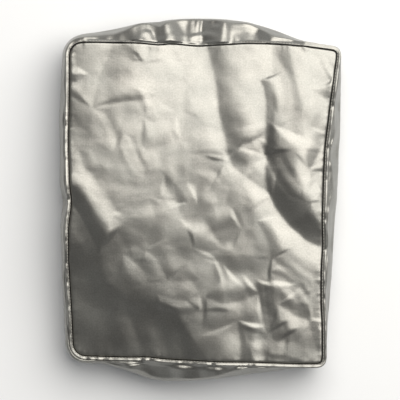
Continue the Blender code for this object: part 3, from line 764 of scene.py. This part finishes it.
def nearest_station(seam, plan):
    """For each plan place, the nearest seam station and how far from the seam it lies."""
    stations = np.zeros(len(plan))
    away = np.zeros(len(plan))
    for first in range(0, len(plan), BLOCK):
        block = slice(first, first + BLOCK)
        gaps = np.linalg.norm(plan[block, None] - seam.points[None], axis=2)
        stations[block] = gaps.argmin(axis=1)
        away[block] = gaps.min(axis=1)
    return stations, away


def seam_pucker(seam, stations):
    """The seam's pucker at its stations."""
    drawn = puckers(np.arange(seam.count) * seam.step)
    return drawn[np.asarray(stations).astype(int) % seam.count]


def top_share(seam):
    """1 along the top, where the strip leaves the seam with no ridge, and 0 along the other sides."""
    return blurred(smooth_step((seam.normals[:, 1] - TOP_FACING) / TOP_BLEND), 1.5, closed=True)


def roll_lift(seam):
    """How much of the ridge's height stands at each station, less in the nicks."""
    runs = np.arange(seam.count) * seam.step
    uneven = [noise.noise(Vector((run / RIDGE_UNEVEN_RUN, 0.0, 5.5))) for run in runs]
    lift = 1.0 + RIDGE_UNEVEN * np.array(uneven)
    for nick in ROLL_NICKS:
        station = int(np.linalg.norm(seam.points - (nick.x, nick.y), axis=1).argmin())
        away = np.abs(runs - runs[station])
        away = np.minimum(away, seam.length - away)
        lift -= nick.deep * NICK_SHARE * np.exp(-((away / nick.long) ** 2))
    return lift


class GussetSurface:
    """The gusset's outer face at each seam station, from the seam to the mouth.

    Rays aimed at a core line inside the section find the solid's face, from just outside the
    roll, round the outer crease, to the surface under the core. Rays from the middle find the
    mouth's edge.
    """

    CORE_IN = 8.0
    CORE_UP = 26.0
    FIRST_ANGLE = 60.0
    LAST_ANGLE = -84.0
    RAYS = 40
    FAR = 120.0
    MOUTH_LEVEL = 1.5

    def __init__(self, tree, seam, edge_height):
        self.edge_height = edge_height
        self.roll_lift = roll_lift(seam)
        self.top_share = top_share(seam)
        angles = np.radians(np.linspace(self.FIRST_ANGLE, self.LAST_ANGLE, self.RAYS))
        reach = np.full((seam.count, self.RAYS), np.nan)
        self.mouth = np.zeros((seam.count, 2))
        cores = seam.points - seam.normals * self.CORE_IN
        for i in range(seam.count):
            core = np.array((*cores[i], self.CORE_UP))
            normal = np.array((*seam.normals[i], 0.0))
            for k, angle in enumerate(angles):
                way = normal * math.cos(angle) + np.array((0, 0, math.sin(angle)))
                place = hit(tree, core + way * self.FAR, -way)
                if place is not None:
                    reach[i, k] = (place - core) @ way
            out = np.array((*cores[i], 0.0))
            self.mouth[i] = hit(tree, (0, 0, self.MOUTH_LEVEL), out)[:2]
        steps = np.arange(seam.count)
        for k in range(self.RAYS):
            known = np.isfinite(reach[:, k])
            reach[:, k] = np.interp(steps, steps[known], reach[known, k], period=seam.count)
        reach = blurred(reach, 2.0, closed=True)
        self.reach = blurred(reach, 0.8, axis=1)
        self.mouth = blurred(self.mouth, 3.0, closed=True)
        self.angles = angles

    def section(self, i):
        """The section at one station, as rows of (out, up) from the flap to the surface."""
        h = self.edge_height[i]
        lift = self.roll_lift[i]
        flat = self.top_share[i]
        rows = [(FLAP_OUT, h - FLAP_DEPTH)]
        for out, up in ROLL_PROFILE:
            ridge = min(up, up * lift)
            strip = min(up, TOP_STRIP_UP + TOP_STRIP_SLOPE * out)
            rows.append((out, h + ridge + flat * (strip - ridge)))
        for angle, reach in zip(self.angles, self.reach[i]):
            up = self.CORE_UP + reach * math.sin(angle)
            rows.append((reach * math.cos(angle) - self.CORE_IN, max(up, 0.0)))
        return rows


def gusset_path(seam, surface, i):
    """The whole section at one station: flap, ridge, outer face, the way in and the turned hem."""
    section = np.array(surface.section(i))
    plan = seam.points[i] + seam.normals[i] * section[:, :1]
    path = np.column_stack((plan, section[:, 1]))
    mouth = np.array((*surface.mouth[i], 0.0))
    last = path[-1] * (1.0, 1.0, 0.0)
    inward = mouth - last
    way_in = [last + inward * share for share in (0.0, 0.4, 0.8, 1.0)]
    back = inward / np.linalg.norm(inward)
    turned = [
        mouth + (0, 0, HEM_TURN_UP) + back * HEM_TURN_IN,
        mouth + (0, 0, TURNED_HEM_UP) - back * HEM_DEPTH,
    ]
    return np.concatenate((path[:-1], way_in, turned))


def lay_rows(seam, surface, rows):
    """Each station's section at this many rows, closer at the ridge, and the way down to each."""
    profiles = np.zeros((seam.count, rows, 3))
    downs = np.zeros((seam.count, rows))
    ridge = len(ROLL_PROFILE)
    for i in range(seam.count):
        path = gusset_path(seam, surface, i)
        runs = np.concatenate(([0.0], np.cumsum(np.linalg.norm(np.diff(path, axis=0), axis=1))))
        fine = np.interp(np.linspace(0, ridge, RIDGE_LINES), np.arange(ridge + 1), runs[: ridge + 1])
        even = np.linspace(runs[ridge], runs[-1], rows - RIDGE_LINES + 1)[1:]
        downs[i] = np.concatenate((fine, even))
        for axis in range(3):
            profiles[i, :, axis] = np.interp(downs[i], runs, path[:, axis])
    return profiles, downs


def make_gusset(seam, surface, outer, inner):
    """The strip: its cells are laid along the section, with even steps, at every station."""
    profiles, downs = lay_rows(seam, surface, GUSSET_CELLS[1] + 1)
    profiles[..., 2] += gusset_rise(seam, profiles)
    lift = gusset_relief(seam, profiles, downs)
    along = np.roll(profiles, -1, axis=0) - np.roll(profiles, 1, axis=0)
    down = np.gradient(profiles, axis=1)
    face = np.cross(down, along)
    face /= np.maximum(np.linalg.norm(face, axis=2), 1e-9)[..., None]
    profiles += face * lift[..., None]
    profiles[..., 2] = np.maximum(profiles[..., 2], 0.0)
    from_mouth = np.linalg.norm(profiles[..., :2] - surface.mouth[:, None], axis=2)
    groove = HEM_GROOVE * np.exp(-(((from_mouth - HEM_STITCH_IN) / HEM_GROOVE_REACH) ** 2))
    profiles[..., 2] += np.where(profiles[..., 2] < HEM_TOP, groove, 0.0)
    sheet = bmesh.new()
    bmesh.ops.create_grid(sheet, x_segments=GUSSET_CELLS[0], y_segments=GUSSET_CELLS[1], size=1.0)
    for vertex in sheet.verts:
        i = int(round((vertex.co.x + 1) / 2 * GUSSET_CELLS[0])) % GUSSET_CELLS[0]
        k = int(round((1 - vertex.co.y) / 2 * GUSSET_CELLS[1]))
        vertex.co = Vector(profiles[i, k]) * MM
    bmesh.ops.remove_doubles(sheet, verts=sheet.verts, dist=1e-6)
    bmesh.ops.recalc_face_normals(sheet, faces=sheet.faces)
    piece = new_mesh_object("gusset_sheet", sheet)
    give_cloth(piece, outer, inner)
    return piece


def gusset_relief(seam, profiles, downs):
    """How far the crumple and ripples lift the gusset's face: hardly at its widest line, and not
    at all at the ridge and on the surface.
    """
    count, rows = downs.shape
    lift = np.zeros((count, rows))
    for i in range(count):
        for k in range(ROLL_ROWS, rows - 2):
            place = Vector(profiles[i, k] / GUSSET_CELL)
            place.z *= GUSSET_CELL_TALLER
            lift[i, k] = GUSSET_FACETS * facets(place, *GUSSET_WARP) + wave_height(GUSSET_WAVE, place)
            place.z *= RIPPLE_TALLER / RIPPLE.finer
            lift[i, k] += wave_height(RIPPLE, place)
    share, below = outward_share(seam, profiles)
    upper = SHELF_CRUMPLE * (1.0 - (1.0 - SHELF_KEPT) * share ** 4)
    wall = WIDEST_KEPT + (1.0 - WIDEST_KEPT) * smooth_step((1.0 - share) / WIDEST_REACH)
    fade = smooth_step((downs - downs[:, ROLL_ROWS : ROLL_ROWS + 1]) / RELIEF_RUN)
    fade *= smooth_step(profiles[..., 2] / RELIEF_FOOT) * np.where(below, wall, upper)
    return lift * fade


def outward_share(seam, profiles):
    """How far out each point lies, as a share of the way to its section's widest point."""
    out = np.einsum("ikc,ic->ik", profiles[..., :2] - seam.points[:, None], seam.normals)
    first = out[:, ROLL_ROWS : ROLL_ROWS + 1]
    widest = out.max(axis=1)[:, None]
    below = np.arange(out.shape[1])[None] > out.argmax(axis=1)[:, None]
    return np.clip((out - first) / np.maximum(widest - first, 1.0), 0.0, 1.0), below


def gusset_rise(seam, profiles):
    """How far the gusset's upper face stands up: a creased shelf as far as the widest line."""
    share, below = outward_share(seam, profiles)
    out = np.einsum("ikc,ic->ik", profiles[..., :2] - seam.points[:, None], seam.normals)
    run = out - out[:, ROLL_END]
    width = run.max(axis=1)[:, None]
    shelf = profiles[:, ROLL_END, 2] - SHELF_SLOPE * run - profiles[..., 2]
    shelf = np.clip(shelf, 0.0, SHELF_MOST * width) * (1.0 - share ** SHELF_EDGE)
    creases = crease_height(GUSSET_CREASES.values(), profiles[..., 0], profiles[..., 1])
    flat = top_share(seam)[:, None]
    fade = smooth_step(run / GUSSET_CREASE_FADE)
    fade += flat * (smooth_step((out - TOP_FACET_START) / TOP_FACET_FADE) - fade)
    creases *= fade * (1.0 - share ** SHELF_EDGE)
    rise = np.where(below, 0.0, shelf + creases)
    for _ in range(2):
        rise = blurred(rise, 0.7, closed=True)
    rise[:, : ROLL_ROWS + 2] *= flat
    return rise


def linear(hex_colour):
    """A hex sRGB colour, as the linear RGBA that the shader takes."""
    parts = [int(hex_colour[i : i + 2], 16) / 255 for i in (1, 3, 5)]
    return (*[p / 12.92 if p <= 0.04045 else ((p + 0.055) / 1.055) ** 2.4 for p in parts], 1.0)


def add_node(tree, kind, links=(), **settings):
    """Adds a node, sets its properties and inputs, and links (output, input) pairs into it."""
    node = tree.nodes.new(kind)
    for name, value in settings.items():
        if hasattr(node, name):
            setattr(node, name, value)
        else:
            node.inputs[name.replace("_", " ")].default_value = value
    for output, name in links:
        tree.links.new(output, node.inputs[name])
    return node


def new_material(name):
    """A new material, with its node tree, its shader and its Object coordinates."""
    material = bpy.data.materials.new(name)
    material.use_nodes = True
    tree = material.node_tree
    place = add_node(tree, "ShaderNodeTexCoord").outputs["Object"]
    return material, tree, tree.nodes["Principled BSDF"], place


def woven_cloth(name, tones, speckled, metallic, roughness, weave_depth):
    """Woven polyester: two tones in soft clouds, a thread-scale speckle, and a plain weave."""
    material, tree, shader, place = new_material(name)
    clouds = add_node(tree, "ShaderNodeTexNoise", [(place, "Vector")], Scale=CLOUD_SCALE, Detail=4.0)
    tone = add_node(
        tree, "ShaderNodeMixRGB", [(clouds.outputs["Fac"], "Fac")],
        Color1=linear(tones[0]), Color2=linear(tones[1]),
    )
    grain = add_node(tree, "ShaderNodeTexNoise", [(place, "Vector")], Scale=GRAIN_SCALE, Detail=2.0)
    speckle = add_node(
        tree, "ShaderNodeMapRange", [(grain.outputs["Fac"], "Value")],
        From_Min=0.3, From_Max=0.7, To_Min=1.0 - speckled, To_Max=1.0 + speckled,
    )
    colour = add_node(
        tree, "ShaderNodeVectorMath", [(tone.outputs["Color"], 0), (speckle.outputs["Result"], 1)],
        operation="MULTIPLY",
    )
    tree.links.new(colour.outputs[0], shader.inputs["Base Color"])
    shader.inputs["Metallic"].default_value = metallic
    wear = add_node(
        tree, "ShaderNodeMapRange", [(clouds.outputs["Fac"], "Value")],
        From_Min=0.3, From_Max=0.7, To_Min=roughness - WEAR_LESS, To_Max=roughness + WEAR_MORE,
    )
    tree.links.new(wear.outputs["Result"], shader.inputs["Roughness"])
    threads = [
        add_node(
            tree, "ShaderNodeTexWave", [(place, "Vector")],
            bands_direction=direction, Scale=WEAVE_SCALE, Distortion=1.2, Detail=1.0,
        )
        for direction in ("X", "Y")
    ]
    weave = add_node(
        tree, "ShaderNodeMath", [(threads[0].outputs["Fac"], 0), (threads[1].outputs["Fac"], 1)],
        operation="MULTIPLY",
    )
    relief = add_node(
        tree, "ShaderNodeMath", [(weave.outputs[0], 0), (grain.outputs["Fac"], 2)],
        operation="MULTIPLY_ADD",
    )
    relief.inputs[1].default_value = WEAVE_SHARE
    bump = add_node(
        tree, "ShaderNodeBump", [(relief.outputs[0], "Height")], Strength=1.0, Distance=weave_depth * MM,
    )
    tree.links.new(bump.outputs["Normal"], shader.inputs["Normal"])
    return material


def plain_finish(name, colour, roughness):
    material, _, shader, _ = new_material(name)
    shader.inputs["Base Color"].default_value = linear(colour)
    shader.inputs["Roughness"].default_value = roughness
    return material


def sew(name, places, ways, ups, material):
    """A row of stitches: short rounded bars of thread along ways, joined to one piece."""
    bar = bmesh.new()
    bmesh.ops.create_uvsphere(bar, u_segments=6, v_segments=5, radius=1.0)
    size = Vector((THREAD_RADIUS, THREAD_RADIUS, STITCH_LENGTH / 2)) * MM
    bmesh.ops.scale(bar, vec=size, verts=bar.verts)
    stitch = bpy.data.meshes.new("stitch")
    bar.to_mesh(stitch)
    bar.free()
    thread = bmesh.new()
    for place, way, up in zip(places, ways, ups):
        way = Vector(way).normalized()
        side = Vector(up).cross(way).normalized()
        turn = Matrix((side, way.cross(side), way)).transposed().to_4x4()
        turn.translation = Vector(place) * MM
        laid = stitch.copy()
        laid.transform(turn)
        thread.from_mesh(laid)
        bpy.data.meshes.remove(laid)
    bpy.data.meshes.remove(stitch)
    piece = new_mesh_object(name, thread)
    piece.data.materials.append(material)
    return piece


def ring_stations(seam):
    """Evenly spaced places for stitches round the seam, as station numbers with fractions."""
    count = int(round(seam.length / STITCH_PITCH))
    return np.arange(count) * seam.count / count


def around(ring, stations):
    """A ring's values at stations with fractions."""
    closed = np.concatenate((ring, ring[:1]))
    steps = np.arange(len(closed))
    return np.stack([np.interp(stations, steps, closed[:, k]) for k in range(ring.shape[1])], axis=-1)


def sew_seam(seam, edge_height, material):
    """The lockstitches that show in the ditch beside the ridge."""
    plan = seam.points + seam.normals * STITCH_OUT
    ring = np.column_stack((plan, edge_height + STITCH_RISE))
    at = ring_stations(seam)
    places = around(ring, at)
    ways = around(ring, (at + 0.5) % seam.count) - around(ring, (at - 0.5) % seam.count)
    normals = np.column_stack((around(seam.normals, at) * -STITCH_LEAN, np.ones(len(at))))
    return sew("seam_thread", places, ways, normals, material)


def sew_hem(seam, surface, material):
    """The row of stitches that holds the turned-in hem, on the face that lies on the surface."""
    mouth = surface.mouth
    way = np.roll(mouth, -3, axis=0) - np.roll(mouth, 3, axis=0)
    out = np.column_stack((-way[:, 1], way[:, 0]))
    out /= np.linalg.norm(out, axis=1)[:, None]
    plan = mouth + out * HEM_STITCH_IN
    ring = np.column_stack((plan, np.full(len(plan), HEM_STITCH_UP)))
    closed = np.concatenate((ring, ring[:1]))
    runs = np.concatenate(([0.0], np.cumsum(np.linalg.norm(np.diff(closed, axis=0), axis=1))))
    count = int(round(runs[-1] / STITCH_PITCH))
    at = np.interp(np.arange(count) * runs[-1] / count, runs, np.arange(len(runs))) % len(ring)
    ways = around(ring, (at + 0.5) % len(ring)) - around(ring, (at - 0.5) % len(ring))
    places = around(ring, at)
    return sew("hem_thread", places, ways, np.tile((0.0, 0.0, 1.0), (count, 1)), material)


def aim(obj, target):
    obj.rotation_euler = (Vector(target) - obj.location).to_track_quat("-Z", "Y").to_euler()


def soft_light(name, place, target, size, power, colour):
    light = bpy.data.lights.new(name, "AREA")
    light.shape = "RECTANGLE"
    light.size, light.size_y = size
    light.energy = power
    light.color = linear(colour)[:3]
    lamp = bpy.data.objects.new(name, light)
    lamp.location = place
    bpy.context.scene.collection.objects.link(lamp)
    aim(lamp, target)
    lamp.visible_camera = False


def make_studio():
    floor_sheet = bmesh.new()
    bmesh.ops.create_grid(floor_sheet, x_segments=1, y_segments=1, size=FLOOR_SIZE)
    for vertex in floor_sheet.verts:
        vertex.co.z = -FLOOR_DOWN
    floor = new_mesh_object("floor", floor_sheet)
    floor.data.materials.append(plain_finish("pale_studio_paper", "#E2E4E6", 0.9))
    world = bpy.data.worlds.new("studio")
    world.use_nodes = True
    tree = world.node_tree
    background = tree.nodes["Background"]
    background.inputs["Color"].default_value = linear("#FFFFFF")
    way = add_node(tree, "ShaderNodeTexCoord").outputs["Generated"]
    height = add_node(tree, "ShaderNodeSeparateXYZ", [(way, "Vector")]).outputs["Z"]
    strength = add_node(
        tree, "ShaderNodeMapRange", [(height, "Value")],
        From_Min=WALL_HEIGHT, From_Max=CEILING_HEIGHT, To_Min=WALL_LIGHT, To_Max=CEILING_LIGHT,
    )
    tree.links.new(strength.outputs["Result"], background.inputs["Strength"])
    bpy.context.scene.world = world
    soft_light("key", KEY_PLACE, (0, 0, 0), KEY_SIZE, KEY_POWER, "#FFFBF5")
    bpy.context.scene.view_settings.view_transform = "Standard"


def make_camera():
    camera = bpy.data.cameras.new("camera")
    camera.sensor_width = SENSOR
    camera.lens = SENSOR * (CAMERA_UP - SEEN_LEVEL) / VIEW_WIDTH
    rig = bpy.data.objects.new("camera", camera)
    rig.location = (0.0, 0.0, CAMERA_UP)
    bpy.context.scene.collection.objects.link(rig)
    bpy.context.scene.camera = rig


seam = SeamLine(solid_tree("front_panel"))
panel_surface = PanelSurface(solid_tree("front_panel"), seam)
edge_s, edge_t = seam.shares()
edge_plan = seam.plan(edge_s, edge_t)
edge_height = panel_surface.height(edge_s, edge_t, edge_plan[:, 0], edge_plan[:, 1])
edge_height = blurred(edge_height, 1.5, closed=True) + puckers(np.arange(seam.count) * seam.step)
# Woven polyester with a silver coating: a soft metal sheen over two close greys
coated = woven_cloth("silver_coated_polyester", ("#8F8D88", "#888985"), 0.10, 0.96, 0.36, 0.05)
# The cloth's bare inner side
uncoated = woven_cloth("uncoated_polyester", ("#6E6E6B", "#64655F"), 0.12, 0.0, 0.8, 0.12)
# Spun polyester sewing thread
thread = plain_finish("grey_sewing_thread", "#B9B6AE", 0.6)
panel = make_front_panel(seam, panel_surface, coated, uncoated)
gusset_surface = GussetSurface(solid_tree("gusset"), seam, edge_height)
gusset = make_gusset(seam, gusset_surface, coated, uncoated)
seam_thread = sew_seam(seam, edge_height, thread)
hem_thread = sew_hem(seam, gusset_surface, thread)
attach(seam_thread, "root")
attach(hem_thread, "root")
for piece, node in ((panel, "front_panel"), (gusset, "gusset")):
    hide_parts(node)
    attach(piece, "root")
make_studio()
make_camera()
